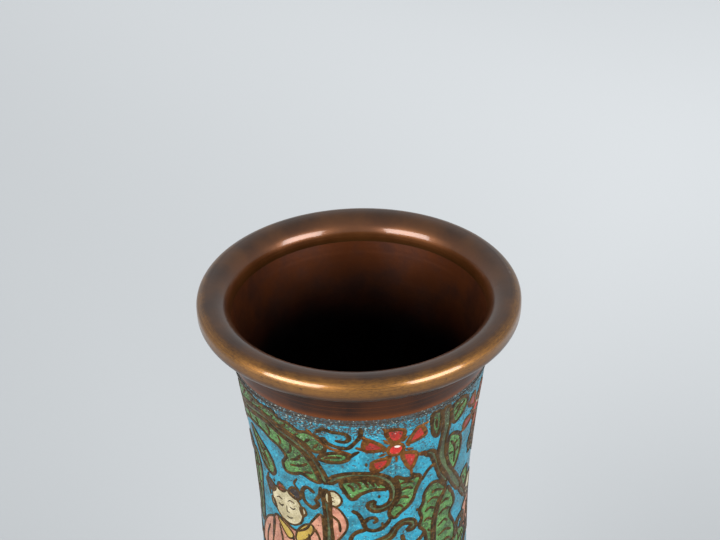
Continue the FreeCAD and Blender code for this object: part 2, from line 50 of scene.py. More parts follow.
# Layers of the enamel face, in mm from the outside of the CAD zone.
GROUND_LIFT = -0.10         # ground enamel, a little sunk between the wires
CELL_LIFTS = {              # coloured cells, each colour at a height of its own
    "green": -0.055, "pink": -0.045, "stem": -0.035, "cream": -0.025, "yellow": -0.015, "red": -0.005,
    "black": 0.005, "eye": 0.01, "painted_eye_highlight": 0.03}
WIRE_EDGE = 0.03            # shoulder of a wire
WIRE_TOP = 0.14             # crest of a wire
ROOT = -0.5                 # how deep cells and wires reach into the ground
GROUND_DEPTH = -0.8         # underside of the ground enamel

WIRE = 1.4                  # usual width of a wire
FINE_WIRE = 1.0             # width of the wires inside small motifs
GRID = 1.6                  # spacing of points inside a coloured cell
GROUND_ROW = 1.5            # spacing of the ground's rows down the vase
SAMPLES = 600               # points kept along a zone's meridian
SAME_LEVEL = 0.3 * MM       # corners of the CAD mesh nearer than this count as one


# ---------------------------------------------------------------- surfaces of the vase

def seam_points(*names):
    """Corners of CAD nodes in their seam plane (y = 0, x > 0), as (radius, height), top first."""
    found = []
    for name in names:
        points = np.array([v.co for v in NODES[name].data.vertices])
        on_seam = (abs(points[:, 1]) < 1e-6) & (points[:, 0] > 0)
        found.append(points[on_seam][:, [0, 2]])
    points = np.concatenate(found)
    return points[np.argsort(-points[:, 1])]


def outside_of_ring(name):
    """Outer meridian of a ring node: the larger radius at each level of its facets."""
    line = []
    for radius, height in seam_points(name):
        if line and line[-1][1] - height < SAME_LEVEL:
            if radius > line[-1][0]:
                line[-1] = (radius, height)
        else:
            line.append((radius, height))
    return line


def outside_of_hull(*names):
    """Outer meridian of a convex zone made of several nodes, from its top down."""
    hull = []
    for radius, height in seam_points(*names):
        while len(hull) > 1:
            (r0, z0), (r1, z1) = hull[-2:]
            if (r1 - r0) * (height - z0) - (z1 - z0) * (radius - r0) < 0:
                break
            hull.pop()
        if hull and math.hypot(hull[-1][0] - radius, hull[-1][1] - height) < SAME_LEVEL:
            continue
        hull.append((radius, height))
    return without_end_faces(hull)


def without_end_faces(line):
    """The line without the short segments across the depth of the enamel at its two ends."""
    line = np.array(line)
    for _ in range(2):
        first, second = line[1] - line[0], line[2] - line[1]
        if np.dot(first, second) < 0.7 * np.hypot(*first) * np.hypot(*second):
            line = line[1:]
        line = line[::-1]
    return line


def cubic(knots, values, fine):
    """Smooth curve through the knots, sampled at fine."""
    widths = np.diff(knots)
    slopes = np.diff(values) / widths
    inner = (slopes[:-1] * widths[1:] + slopes[1:] * widths[:-1]) / (widths[:-1] + widths[1:])
    tangents = np.r_[2 * slopes[0] - inner[0], inner, 2 * slopes[-1] - inner[-1]]
    span = np.clip(np.searchsorted(knots, fine, side="right") - 1, 0, len(widths) - 1)
    h = widths[span]
    u = (fine - knots[span]) / h
    return ((2 * u ** 3 - 3 * u ** 2 + 1) * values[span] + (u ** 3 - 2 * u ** 2 + u) * h * tangents[span]
            + (3 * u ** 2 - 2 * u ** 3) * values[span + 1] + (u ** 3 - u ** 2) * h * tangents[span + 1])


class Surface:
    """Outside of an enamelled zone.

    A place on it is (angle, down): the angle round from the front (-Y) towards +X, and the
    length down the meridian from the zone's top edge, in mm.
    """

    def __init__(self, line):
        line = np.array(line, float) / MM
        knots = np.r_[0, np.cumsum(np.hypot(*np.diff(line, axis=0).T))]
        self.down = np.linspace(0, knots[-1], SAMPLES)
        self.radius = cubic(knots, line[:, 0], self.down)
        self.height = cubic(knots, line[:, 1], self.down)
        slope = np.stack([np.gradient(self.radius), np.gradient(self.height)])
        slope /= np.hypot(*slope)
        self.out, self.up = -slope[1], slope[0]
        self.length = float(knots[-1])

    def radius_at(self, down):
        """Radius of the vase at a length down the meridian, in mm."""
        return np.interp(down, self.down, self.radius)

    def points(self, angle, down, lift):
        """Points in metres for places at a height above the surface."""
        radius = self.radius_at(down) + lift * np.interp(down, self.down, self.out)
        height = np.interp(down, self.down, self.height) + lift * np.interp(down, self.down, self.up)
        return np.stack([radius * np.sin(angle), -radius * np.cos(angle), height], -1) * MM


# ---------------------------------------------------------------- drawing in flat millimetres

def flow(points, step, closed=False):
    """Smooth line through points at even steps."""
    points = np.array(points, float)
    if closed:
        guide = np.vstack([points[-1], points, points[:2]])
    else:
        guide = np.vstack([2 * points[0] - points[1], points, 2 * points[-1] - points[-2]])
    line = []
    for p0, p1, p2, p3 in zip(guide, guide[1:], guide[2:], guide[3:]):
        count = max(2, round(float(np.hypot(*(p2 - p1))) / step))
        u = np.arange(count)[:, None] / count
        line.append(0.5 * (2 * p1 + (p2 - p0) * u + (2 * p0 - 5 * p1 + 4 * p2 - p3) * u ** 2
                           + (3 * p1 - p0 - 3 * p2 + p3) * u ** 3))
    if not closed:
        line.append(points[-1:])
    return np.vstack(line)


def normals(line, closed=False):
    """Unit normals of a line."""
    along = np.roll(line, -1, 0) - np.roll(line, 1, 0) if closed else np.gradient(line, axis=0)
    along /= np.maximum(np.hypot(along[:, 0], along[:, 1]), 1e-9)[:, None]
    return np.stack([-along[:, 1], along[:, 0]], -1)


class Zone:
    """An enamelled zone: its surface, and the cells and wires drawn on it, by finish."""

    def __init__(self, name, surface, step):
        self.name = name
        self.surface = surface
        self.step = step        # spacing of points along drawn lines
        self.cells = {}
        self.wires = {}

    def pen(self, angle=0.0, down=0.0, radius=None):
        """A pen whose flat mm start at a place; x runs round the vase, y down it."""
        return Pen(self, lambda flat: np.stack(
            [angle + flat[:, 0] / (radius or self.surface.radius_at(down + flat[:, 1])),
             down + flat[:, 1]], -1))


class Pen:
    """Draws cells and wires of a zone in flat mm of its own, moved, turned, scaled or mirrored."""

    def __init__(self, zone, sheet, turn=np.eye(2), start=np.zeros(2)):
        self.zone = zone
        self.sheet = sheet
        self.turn = turn
        self.start = start

    def at(self, x, y, turn=0.0, size=1.0, mirror=False):
        """A pen for a motif at a spot; turn is in degrees, clockwise as seen."""
        cos, sin = math.cos(math.radians(turn)) * size, math.sin(math.radians(turn)) * size
        own = np.array([[cos, -sin], [sin, cos]]) @ np.diag([-1 if mirror else 1, 1])
        return Pen(self.zone, self.sheet, self.turn @ own, self.start + self.turn @ (x, y))

    def put(self, points):
        """Points of a motif on the zone's own flat sheet."""
        return np.array(points, float) @ self.turn.T + self.start

    def cell(self, colour, points):
        """A closed cell of one colour."""
        self.zone.cells.setdefault(colour, []).append(
            (flow(self.put(points), self.zone.step, True), self.sheet))

    def wire(self, points, width=WIRE, closed=False, metal="wires"):
        """A wire along a smooth line; its free ends taper."""
        line = flow(self.put(points), self.zone.step, closed)
        self.zone.wires.setdefault(metal, []).append((line, self.sheet, width, closed))

    def outlined(self, colour, points, width=WIRE, metal="wires"):
        """A cell with its wire all round."""
        self.cell(colour, points)
        self.wire(points, width, True, metal)

    def band(self, points, width=3.0, colour="stem", edge=1.3):
        """A stem: a band of enamel with a wire along each side."""
        line = flow(self.put(points), self.zone.step)
        swell = 1 + 0.12 * np.sin(np.arange(len(line)) * 0.21)
        ends = np.minimum(np.arange(len(line)), np.arange(len(line))[::-1]) * self.zone.step
        half = (width / 2 * swell * np.clip(0.4 + ends / width, 0, 1))[:, None]
        side = normals(line) * half
        rim = np.vstack([line + side, (line - side)[::-1]])
        self.zone.cells.setdefault(colour, []).append((rim, self.sheet))
        self.zone.wires.setdefault("wires", []).append((rim, self.sheet, edge, True))

    def dot(self, x, y, radius, colour=None, metal="wires"):
        """A small round cell, or a round blob of metal where there is no colour."""
        ring = [(x + radius * math.cos(a), y + radius * math.sin(a)) for a in np.arange(6) * math.pi / 3]
        if colour:
            self.outlined(colour, ring, FINE_WIRE, metal)
        else:
            self.wire([(x - radius / 2, y), (x, y), (x + radius / 2, y)], 2 * radius, metal=metal)


# ---------------------------------------------------------------- solids from the drawing

class Solid:
    """Points and faces of one piece while it is put together."""

    def __init__(self):
        self.points = []
        self.faces = []
        self.count = 0

    def add(self, points, faces):
        """Add a closed part with its own numbering of points."""
        self.points.append(points)
        self.faces.extend(tuple(i + self.count for i in face) for face in faces)
        self.count += len(points)

    def make(self, name, material, sharp=50.0):
        """The finished piece, riding on the vase."""
        mesh = bpy.data.meshes.new(name)
        mesh.from_pydata(np.vstack(self.points).tolist(), [], self.faces)
        mesh.validate()
        mesh.materials.append(material)
        for polygon in mesh.polygons:
            polygon.use_smooth = True
        mesh.set_sharp_from_angle(angle=math.radians(sharp))
        made = bpy.data.objects.new(name, mesh)
        bpy.context.scene.collection.objects.link(made)
        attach(made, "root")
        return made


def strip_faces(count, sides, closed):
    """Faces of a tube of count sections with sides corners each, with caps on open ends."""
    faces = []
    for i in range(count if closed else count - 1):
        j = (i + 1) % count
        for k in range(sides):
            m = (k + 1) % sides
            faces.append((i * sides + k, i * sides + m, j * sides + m, j * sides + k))
    if not closed:
        faces.append(tuple(range(sides))[::-1])
        faces.append(tuple((count - 1) * sides + k for k in range(sides)))
    return faces


def add_wire(solid, zone, line, sheet, width, closed):
    """A wire: sunk in the ground, with a low rounded crest."""
    count = len(line)
    place = np.arange(count)
    slow, quick = np.sin(place * 0.47 + line[0, 0]), np.sin(place * 1.1 + line[0, 1])
    half = width / 2 * (1 + 0.09 * slow + 0.05 * quick)
    if not closed:
        half *= np.clip(0.55 + np.minimum(place, place[::-1]) * zone.step / 2.0, 0, 1)
    side = normals(line, closed)
    section = [(-1, ROOT), (-1, WIRE_EDGE), (-0.45, WIRE_TOP), (0.45, WIRE_TOP), (1, WIRE_EDGE), (1, ROOT)]
    rails = []
    for painted_light_across, lift in section:
        spots = sheet(line + side * (half * painted_light_across)[:, None])
        rails.append(zone.surface.points(spots[:, 0], spots[:, 1], lift))
    solid.add(np.stack(rails, 1).reshape(-1, 3), strip_faces(count, len(section), closed))


def add_cell(solid, surface, rim, sheet, lift):
    """A cell of enamel: a slab that follows the surface."""
    low, high = rim.min(0), rim.max(0)
    grid = np.stack(np.meshgrid(np.arange(low[0], high[0], GRID), np.arange(low[1], high[1], GRID)), -1)
    corners = [Vector(p) for p in np.vstack([rim, grid.reshape(-1, 2)])]
    flat, _, faces, *_ = delaunay_2d_cdt(corners, [], [list(range(len(rim)))], 1, 1e-5)
    used = sorted({i for face in faces for i in face})
    number = {old: new for new, old in enumerate(used)}
    place = sheet(np.array([tuple(flat[i]) for i in used]))
    tops = [tuple(number[i] for i in face) for face in faces]
    count = len(used)
    sides = {(a, b) for face in tops for a, b in zip(face, face[1:] + face[:1])}
    walls = [(b, a, a + count, b + count) for a, b in sides if (b, a) not in sides]
    backs = [tuple(i + count for i in face[::-1]) for face in tops]
    top = surface.points(place[:, 0], place[:, 1], lift)
    back = surface.points(place[:, 0], place[:, 1], ROOT)
    # On the sheet y runs down the vase, so faces that turn left there face inwards.
    solid.add(np.vstack([top, back]), [face[::-1] for face in tops + backs + walls])


def add_ground(solid, surface):
    """The ground enamel of a zone: a closed ring, gently uneven."""
    rows = max(8, int(surface.length / GROUND_ROW))
    down = np.linspace(0.02, surface.length - 0.02, rows)
    down = np.r_[down, down[::-1]]
    lift = np.r_[np.full(rows, GROUND_LIFT), np.full(rows, GROUND_DEPTH)]
    angles = np.arange(ROUND) * 2 * math.pi / ROUND
    sections = [surface.points(np.full(2 * rows, angle), down, lift) for angle in angles]
    solid.add(np.vstack(sections), strip_faces(ROUND, 2 * rows, True))


def make_zone(zone, ground, ground_slot, *replaced):
    """All pieces of a zone. The ground stands for the CAD node of the field."""
    solid = Solid()
    add_ground(solid, zone.surface)
    piece = solid.make(f"{zone.name}_ground", LOOKS[ground])
    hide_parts(*replaced)
    for colour, cells in zone.cells.items():
        solid = Solid()
        for rim, sheet in cells:
            add_cell(solid, zone.surface, rim, sheet, CELL_LIFTS[colour])
        solid.make(f"{zone.name}_{colour}", LOOKS[colour])
    for metal, wires in zone.wires.items():
        solid = Solid()
        for wire in wires:
            add_wire(solid, zone, *wire)
        solid.make(f"{zone.name}_{metal}", LOOKS[metal])


# ---------------------------------------------------------------- materials

def tint(red, green, blue):
    """Linear colour from everyday 0-255 values."""
    return tuple((c / 255) ** 2.2 for c in (red, green, blue)) + (1.0,)


class Look:
    """A node material while it is put together; sizes are in mm."""

    def __init__(self, name, **values):
        self.material = bpy.data.materials.new(name)
        self.material.use_nodes = True
        self.tree = self.material.node_tree
        self.shader = self.tree.nodes["Principled BSDF"]
        for socket, value in values.items():
            self.shader.inputs[socket.replace("_", " ")].default_value = value
        self.place = self.add("ShaderNodeTexCoord").outputs["Object"]

    def add(self, kind, inputs=(), **settings):
        """A new node; its inputs are linked sockets or plain values."""
        node = self.tree.nodes.new(kind)
        for name, value in settings.items():
            setattr(node, name, value)
        for socket, value in dict(inputs).items():
            if isinstance(value, bpy.types.NodeSocket):
                self.tree.links.new(value, node.inputs[socket])
            else:
                node.inputs[socket].default_value = value
        return node

    def noise(self, size, detail=3.0, place=None, roughness=0.55):
        """Noise with blotches of about a size."""
        return self.add("ShaderNodeTexNoise", {
            "Vector": place or self.place, "Scale": 1 / (size * MM), "Detail": detail,
            "Roughness": roughness}).outputs["Fac"]

    def stretch(self, place, x=1.0, y=1.0, z=1.0):
        """A place scaled along each axis."""
        return self.add("ShaderNodeVectorMath", {0: place, 1: (x, y, z)}, operation="MULTIPLY").outputs[0]

    def maths(self, operation, *values, clamp=False):
        return self.add("ShaderNodeMath", dict(enumerate(values)), operation=operation,
                        use_clamp=clamp).outputs[0]

    def step(self, value, low, high, start=0.0, end=1.0):
        """Value rising smoothly from start to end between low and high."""
        return self.add("ShaderNodeMapRange", {
            "Value": value, "From Min": low, "From Max": high, "To Min": start, "To Max": end},
            interpolation_type="SMOOTHSTEP").outputs[0]

    def mix(self, share, first, second):
        """Colour between two by a share."""
        node = self.add("ShaderNodeMix", {0: share, 6: first, 7: second}, data_type="RGBA")
        return node.outputs[2]

    def axes(self):
        """Radius from the vase's axis, and height, in metres."""
        split = self.add("ShaderNodeSeparateXYZ", {0: self.place}).outputs
        flat = self.stretch(self.place, 1.0, 1.0, 0.0)
        radius = self.add("ShaderNodeVectorMath", {0: flat}, operation="LENGTH").outputs["Value"]
        return radius, split["Z"]

    def finish(self, colour, roughness, height=None, depth=0.05):
        """Connect the shader; height gives relief of a depth in mm."""
        self.tree.links.new(colour, self.shader.inputs["Base Color"])
        self.tree.links.new(roughness, self.shader.inputs["Roughness"])
        if height is not None:
            bump = self.add("ShaderNodeBump", {"Height": height, "Strength": 1.0, "Distance": depth * MM})
            self.tree.links.new(bump.outputs[0], self.shader.inputs["Normal"])
        return self.material


def enamel(name, dark, main, light, pits=0.5, grime=tint(40, 30, 20)):
    """Old opaque enamel: mottled, with grime in its pits and pale grains, worst at the neck's top."""
    look = Look(name, IOR=1.5, Specular_IOR_Level=0.35)
    _, height = look.axes()
    worn = look.step(height, NECK_TOP - 9.0 * MM, NECK_TOP - 1.0 * MM, 0.0, 0.15)
    wear = look.maths("ADD", worn, look.step(look.noise(16.0, 2.0), 0.42, 0.68, 0.0, 0.06))
    cloud = look.noise(5.5, 4.0)
    colour = look.mix(look.step(cloud, 0.38, 0.62), dark, main)
    colour = look.mix(look.step(look.noise(0.9, 3.0, roughness=0.7), 0.5, 0.78, 0.0, 0.8), colour, light)
    soil = look.step(look.noise(2.2, 4.0, roughness=0.65), 0.5, 0.72, 0.0, 0.45 * pits)
    colour = look.mix(soil, colour, grime)
    pit_edge = look.maths("SUBTRACT", 0.76 - 0.16 * pits, wear)
    pit = look.maths("MULTIPLY", look.maths("SUBTRACT", look.noise(0.75, 2.0, roughness=0.6), pit_edge),
                     14.0, clamp=True)
    grain_edge = look.maths("SUBTRACT", 0.72, look.maths("MULTIPLY", wear, 0.45))
    grain = look.maths("MULTIPLY", look.maths("SUBTRACT", look.noise(0.6, 1.0, roughness=0.5), grain_edge),
                       12.0, clamp=True)
    colour = look.mix(look.maths("MULTIPLY", pit, 0.9), colour, grime)
    colour = look.mix(look.maths("MULTIPLY", grain, 0.42), colour, tint(160, 176, 170))
    rough = look.maths("ADD", look.step(cloud, 0.3, 0.7, 0.3, 0.45), look.maths("MULTIPLY", pit, 0.3))
    relief = look.maths("SUBTRACT", look.maths("MULTIPLY", look.noise(2.4, 2.0), 0.6), pit)
    return look.finish(colour, rough, relief, 0.07)


def wire_metal(name, dark, main, bright):
    """Old bronze of the wires: brown, with rubbed crests."""
    look = Look(name, Metallic=0.75, Specular_IOR_Level=0.4)
    colour = look.mix(look.step(look.noise(3.5, 3.0), 0.35, 0.65), dark, main)
    colour = look.mix(look.step(look.noise(1.1, 3.0, roughness=0.7), 0.5, 0.75), colour, bright)
    rough = look.step(look.noise(1.6, 3.0), 0.3, 0.7, 0.34, 0.6)
    return look.finish(colour, rough, look.noise(0.7, 3.0), 0.05)


def bronze(name, dark, main, bright, rough=0.34):
    """Plain patinated bronze: cloudy brown, with fine turning marks and rubbed places."""
    look = Look(name, Metallic=0.85, Specular_IOR_Level=0.5)
    radius, height = look.axes()
    rings = look.add("ShaderNodeCombineXYZ", {0: radius, 1: height}).outputs[0]
    marks = look.noise(0.35, 3.0, rings, 0.7)
    cloud = look.noise(9.0, 4.0, roughness=0.6)
    colour = look.mix(look.step(cloud, 0.36, 0.64), dark, main)
    rub = look.maths("MULTIPLY", look.step(look.noise(5.0, 4.0), 0.5, 0.75), look.step(marks, 0.4, 0.7))
    colour = look.mix(rub, colour, bright)
    smooth = look.maths("ADD", look.step(cloud, 0.3, 0.7, rough - 0.06, rough + 0.08),
                        look.step(marks, 0.5, 0.8, 0.0, 0.1))
    relief = look.maths("ADD", look.maths("MULTIPLY", marks, 0.3), look.noise(1.8, 3.0))
    return look.finish(colour, smooth, relief, 0.03)


def lip_bronze(rim_radius, rim_height):
    """The lip: dark brown on top, golden and scratched where its outer edge is rubbed."""
    look = Look("lip_bronze", Metallic=0.75, Specular_IOR_Level=0.4, Coat_Weight=0.55, Coat_Roughness=0.12)
    radius, height = look.axes()
    rings = look.add("ShaderNodeCombineXYZ", {0: radius, 1: height}).outputs[0]
    marks = look.noise(0.22, 3.0, rings, 0.75)
    cloud = look.noise(14.0, 5.0, roughness=0.55)
    colour = look.mix(look.step(cloud, 0.3, 0.72), tint(54, 33, 16), tint(78, 48, 20))
    flare = look.step(radius, rim_radius - 11.0 * MM, rim_radius - 6.0 * MM, 0.7, 0.0)
    colour = look.mix(flare, colour, tint(86, 50, 24))
    seam = look.step(height, rim_height - 8.6 * MM, rim_height - 6.6 * MM, 0.6, 0.0)
    colour = look.mix(look.maths("MULTIPLY", seam, flare), colour, tint(44, 40, 22))
    uneven = look.maths("ADD", radius, look.maths("MULTIPLY", look.noise(7.0, 3.0), 2.6 * MM))
    edge = look.step(uneven, rim_radius - 2.0 * MM, rim_radius + 0.7 * MM)
    edge = look.maths("MULTIPLY", edge, look.step(height, rim_height - 6.6 * MM, rim_height - 3.4 * MM))
    brush = look.noise(1.6, 3.0, look.stretch(look.place, 1.0, 1.0, 7.0), 0.7)
    worn = look.maths("MULTIPLY", edge, look.step(brush, 0.32, 0.6, 0.35, 1.0))
    worn = look.maths("MULTIPLY", worn, look.step(marks, 0.34, 0.58, 0.3, 1.0))
    colour = look.mix(worn, colour, tint(116, 78, 28))
    nick = look.step(look.noise(1.3, 2.0), 0.70, 0.74, 0.0, 0.7)
    colour = look.mix(look.maths("MULTIPLY", nick, edge), colour, tint(40, 28, 16))
    rough = look.maths("ADD", look.step(cloud, 0.3, 0.7, 0.32, 0.42), look.step(marks, 0.5, 0.8, 0.0, 0.12))
    relief = look.maths("ADD", look.maths("MULTIPLY", marks, 0.35), look.noise(2.6, 3.0))
    return look.finish(colour, rough, relief, 0.02)


def tube_bronze(top, enamel_top):
    """The neck's own metal: red-brown band outside, brown at the mouth inside, and painted shade that
    darkens it to near black further down.
    """
    look = Look("tube_bronze", Metallic=0.75, Specular_IOR_Level=0.4, Coat_Weight=0.12, Coat_Roughness=0.16)
    radius, height = look.axes()
    rings = look.add("ShaderNodeCombineXYZ", {0: radius, 1: height}).outputs[0]
    marks = look.noise(0.3, 3.0, rings, 0.7)
    cloud = look.noise(12.0, 5.0, roughness=0.58)
    colour = look.mix(look.step(cloud, 0.34, 0.68), tint(38, 20, 8), tint(60, 32, 12))
    colour = look.mix(look.step(marks, 0.5, 0.74, 0.0, 0.8), colour, tint(96, 52, 20))
    low = look.step(height, enamel_top + 1.0 * MM, enamel_top + 5.6 * MM, 0.75, 0.0)
    colour = look.mix(low, colour, tint(124, 64, 16))
    flat = look.stretch(look.place, 1.0, 1.0, 0.0)
    normal = look.add("ShaderNodeNewGeometry").outputs["Normal"]
    facing = look.add("ShaderNodeVectorMath", {0: flat, 1: normal},
                      operation="DOT_PRODUCT").outputs["Value"]
    inside = look.step(facing, -0.0006, 0.0006, 1.0, 0.0)
    # painted shade: deeper in the throat the colour goes to near black, with an uneven edge
    uneven = look.maths("ADD", height, look.maths("MULTIPLY", look.noise(26.0, 3.0), 18.0 * MM))
    depth = look.step(uneven, top - 26.0 * MM, top + 6.0 * MM, 1.0, 0.0)
    throat_with_painted_shade = look.mix(look.step(cloud, 0.35, 0.7), tint(94, 52, 30), tint(64, 38, 28))
    throat_with_painted_shade = look.mix(depth, throat_with_painted_shade, tint(16, 12, 14))
    colour = look.mix(inside, colour, throat_with_painted_shade)
    rough = look.maths("ADD", look.step(cloud, 0.3, 0.7, 0.3, 0.42), look.step(marks, 0.5, 0.8, 0.0, 0.1))
    relief = look.maths("ADD", look.maths("MULTIPLY", marks, 0.3), look.noise(2.6, 3.0))
    return look.finish(colour, rough, relief, 0.025)


NECK_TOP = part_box("neck_field_enamel")[1][2]

LOOKS = {
    "turquoise": enamel("turquoise", tint(23, 76, 89), tint(25, 103, 123), tint(63, 134, 145), 0.95),
    "cobalt": enamel("cobalt", tint(12, 24, 64), tint(17, 38, 92), tint(44, 70, 122), 0.6),
    "worn_edge": enamel("worn_edge", tint(35, 38, 37), tint(44, 59, 64), tint(54, 97, 113), 1.0),
    "green": enamel("leaf_green", tint(35, 59, 28), tint(59, 97, 49), tint(99, 129, 80), 1.2),
    "stem": enamel("stem_green", tint(38, 44, 26), tint(56, 68, 40), tint(80, 92, 61), 1.1),
    "red": enamel("red", tint(89, 17, 11), tint(121, 24, 16), tint(143, 50, 34), 0.8),
    "eye": enamel("eye_red", tint(104, 17, 12), tint(139, 26, 17), tint(160, 56, 38), 0.5),
    "cream": enamel("cream", tint(121, 112, 85), tint(145, 136, 110), tint(165, 158, 136), 0.75,
                    tint(69, 52, 31)),
    "pink": enamel("pink", tint(120, 78, 62), tint(141, 98, 79), tint(158, 124, 106), 0.8,
                   tint(77, 44, 31)),
    "yellow": enamel("yellow", tint(110, 87, 34), tint(131, 110, 45), tint(150, 131, 72), 0.7,
                     tint(61, 40, 17)),
    "black": enamel("black", tint(21, 14, 10), tint(35, 23, 17), tint(63, 45, 35), 0.3),
    "wires": wire_metal("wire_metal", tint(46, 33, 16), tint(72, 52, 26), tint(108, 78, 40)),
    "gold": wire_metal("gilt_metal", tint(72, 43, 18), tint(102, 64, 27), tint(134, 90, 40)),
    # painted highlight: pale enamel for the small crescent on each flower's eye
    "painted_eye_highlight": enamel("painted_eye_highlight", tint(150, 138, 130), tint(176, 164, 156), tint(204, 196, 190), 0.6),
    "ink": wire_metal("ink_metal", tint(26, 14, 8), tint(42, 24, 14), tint(70, 46, 26)),
    "band": bronze("band_bronze", tint(60, 30, 18), tint(104, 58, 28), tint(158, 106, 48)),
    "plate": bronze("plate_bronze", tint(50, 36, 26), tint(80, 56, 36), tint(124, 90, 52), 0.46),
    "lip": lip_bronze(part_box("lip_ring")[1][0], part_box("lip_ring")[1][2]),
    "tube": tube_bronze(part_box("neck_tube")[1][2], NECK_TOP),
}

CAD_LOOKS = {
    "lip": ["lip_ring"],
    "tube": ["neck_tube"],
    "band": ["foot_rim", "foot_shell", "belly_shell", "shoulder_shell", "waist_ring", "neck_ring"],
    "plate": ["base_plate"],
    "wires": ["foot_edge_wire", "lappet_foot_wire", "collar_edge_wire", "neck_foot_wire", "collar_wires",
              "collar_heart_wires", "lappet_wires", "lappet_heart_wires"],
    "cobalt": ["foot_strip_enamel", "neck_foot_enamel"],
    "worn_edge": ["neck_edge_enamel", "neck_edge_wire"],
    "green": ["collar_enamel", "lappet_enamel"],
    "red": ["collar_heart_enamel", "lappet_heart_enamel"],
}
for look, names in CAD_LOOKS.items():
    for name in names:
        NODES[name].data.materials.clear()
        NODES[name].data.materials.append(LOOKS[look])


# ---------------------------------------------------------------- motifs

def flower(pen):
    """An open five-petalled flower: red inlays in a star of bronze, round a red eye with a painted
    highlight.
    """
    petals = [
        [(-3, -8.8), (2.2, -8), (1.6, -4), (-1.4, -3.8)],
        [(-9, -5.6), (-5, -3.2), (-4, -0.8), (-9.4, -1)],
        [(-2.4, 3.4), (-7.2, 4.6), (-5.8, 8.4), (-2.6, 6.2)],
        [(2.4, 2.4), (7, 4.2), (5.4, 10), (3, 6.2)],
        [(7.4, -7.8), (9.4, -3.2), (4.2, -1.6), (4.8, -4.4)],
    ]
    for petal in petals:
        pen.outlined("red", petal, 1.4, "gold")
        x, y = min(petal, key=lambda corner: math.hypot(*corner))
        pen.wire([(0.75 * x, 0.75 * y), (0.9 * x, 0.9 * y), (x, y)], 2.6, metal="gold")
    tips = [(-4, -10), (-12, -2.4), (-7.4, 10), (5.6, 12.6), (10, -8.2)]
    for (x, y), petal in zip(tips, petals):
        near = min(petal, key=lambda corner: math.hypot(corner[0] - x, corner[1] - y))
        pen.wire([near, (0.5 * (near[0] + x), 0.5 * (near[1] + y)), (x, y)], 1.1, metal="gold")
    for x, y in ((-3.8, -5), (3.4, -5), (-5, 2), (0.4, 5.4), (5.6, 1.4)):
        pen.wire([(0.6 * x, 0.6 * y), (0.8 * x, 0.8 * y), (x, y)], 1.0, metal="gold")
    eye = [(2.5 * math.cos(a), 2.5 * math.sin(a)) for a in np.arange(8) * math.pi / 4]
    pen.outlined("eye", eye, 1.2, metal="gold")
    # painted highlight: a small pale crescent near the top of the eye
    pen.cell("painted_eye_highlight", [(-0.6, -1.5), (0.4, -1.9), (1.4, -1.4), (1, -0.8), (0, -0.9)])


def leaf(pen, outline, veins):
    """A leaf with its veins."""
    pen.outlined("green", outline)
    for vein in veins:
        pen.wire(vein, FINE_WIRE)


def curl(pen, size=1.0):
    """A C-shaped tendril that ends in a small eye."""
    pen = pen.at(0, 0, size=size)
    pen.band([(0, 0), (3, -3), (7, -3.5), (10, -1), (10, 3), (7, 5), (4.5, 4), (4.5, 1.8)], 1.7)
    pen.dot(5.8, 1.4, 0.7)


def acanthus(pen):
    """A long lobed leaf that grows along +x from its stalk."""
    upper = [(0, 0), (3, -4), (6, -3.2), (7.5, -7), (11, -5.4), (13, -8.4), (16.5, -5.8), (19, -7.2),
             (22, -3.6), (26, 0)]
    lower = [(22.5, 2.4), (19.5, 2.2), (17.5, 5.6), (14, 4), (11.5, 7.2), (8, 4.4), (5, 5.6), (2.6, 2.4)]
    pen.outlined("green", upper + lower, 0.85)
    pen.wire([(-2, 0), (6, -0.8), (14, -0.6), (22, -0.6)], 0.85)
    for x, y in ((4, -3), (8.5, -4.6), (13.6, -5.4), (18.6, -4.4)):
        pen.wire([(x - 1.6, -0.8), (x - 0.4, y * 0.5), (x, y)], FINE_WIRE)
    for x, y in ((5.5, 3.2), (11, 4.6), (16.5, 3.2)):
        pen.wire([(x - 1.8, -0.4), (x - 0.6, y * 0.5), (x, y)], FINE_WIRE)


def lotus(pen):
    """A lotus seen from the side, with three petals each side of its heart."""
    for side in (-1, 1):
        for reach, rise, swing in ((15, 3, 6.5), (12, 8.5, 5.5), (7.6, 12.5, 4.6)):
            painted_light_across = side * reach
            pen.outlined("cream", [
                (painted_light_across * 0.09, 2.5), (painted_light_across * 0.45, 3.4 - rise * 0.25), (painted_light_across * 0.9, 1.2 - rise * 0.7),
                (painted_light_across, -rise), (painted_light_across * 0.72, -rise - swing * 0.25), (painted_light_across * 0.3, -rise * 0.75)], 0.8)
    pen.outlined("red", [(0, -15), (3.8, -10), (4.4, -4), (2.4, 1), (0, 2.6), (-2.4, 1), (-4.4, -4),
                         (-3.8, -10)], 0.95)
    pen.wire([(0, -12), (0, -6), (0, 0)], FINE_WIRE, metal="gold")
    pen.outlined("stem", [(-6, 3.4), (0, 2.2), (6, 3.4), (3.4, 6.6), (0, 7.6), (-3.4, 6.6)], 0.85)


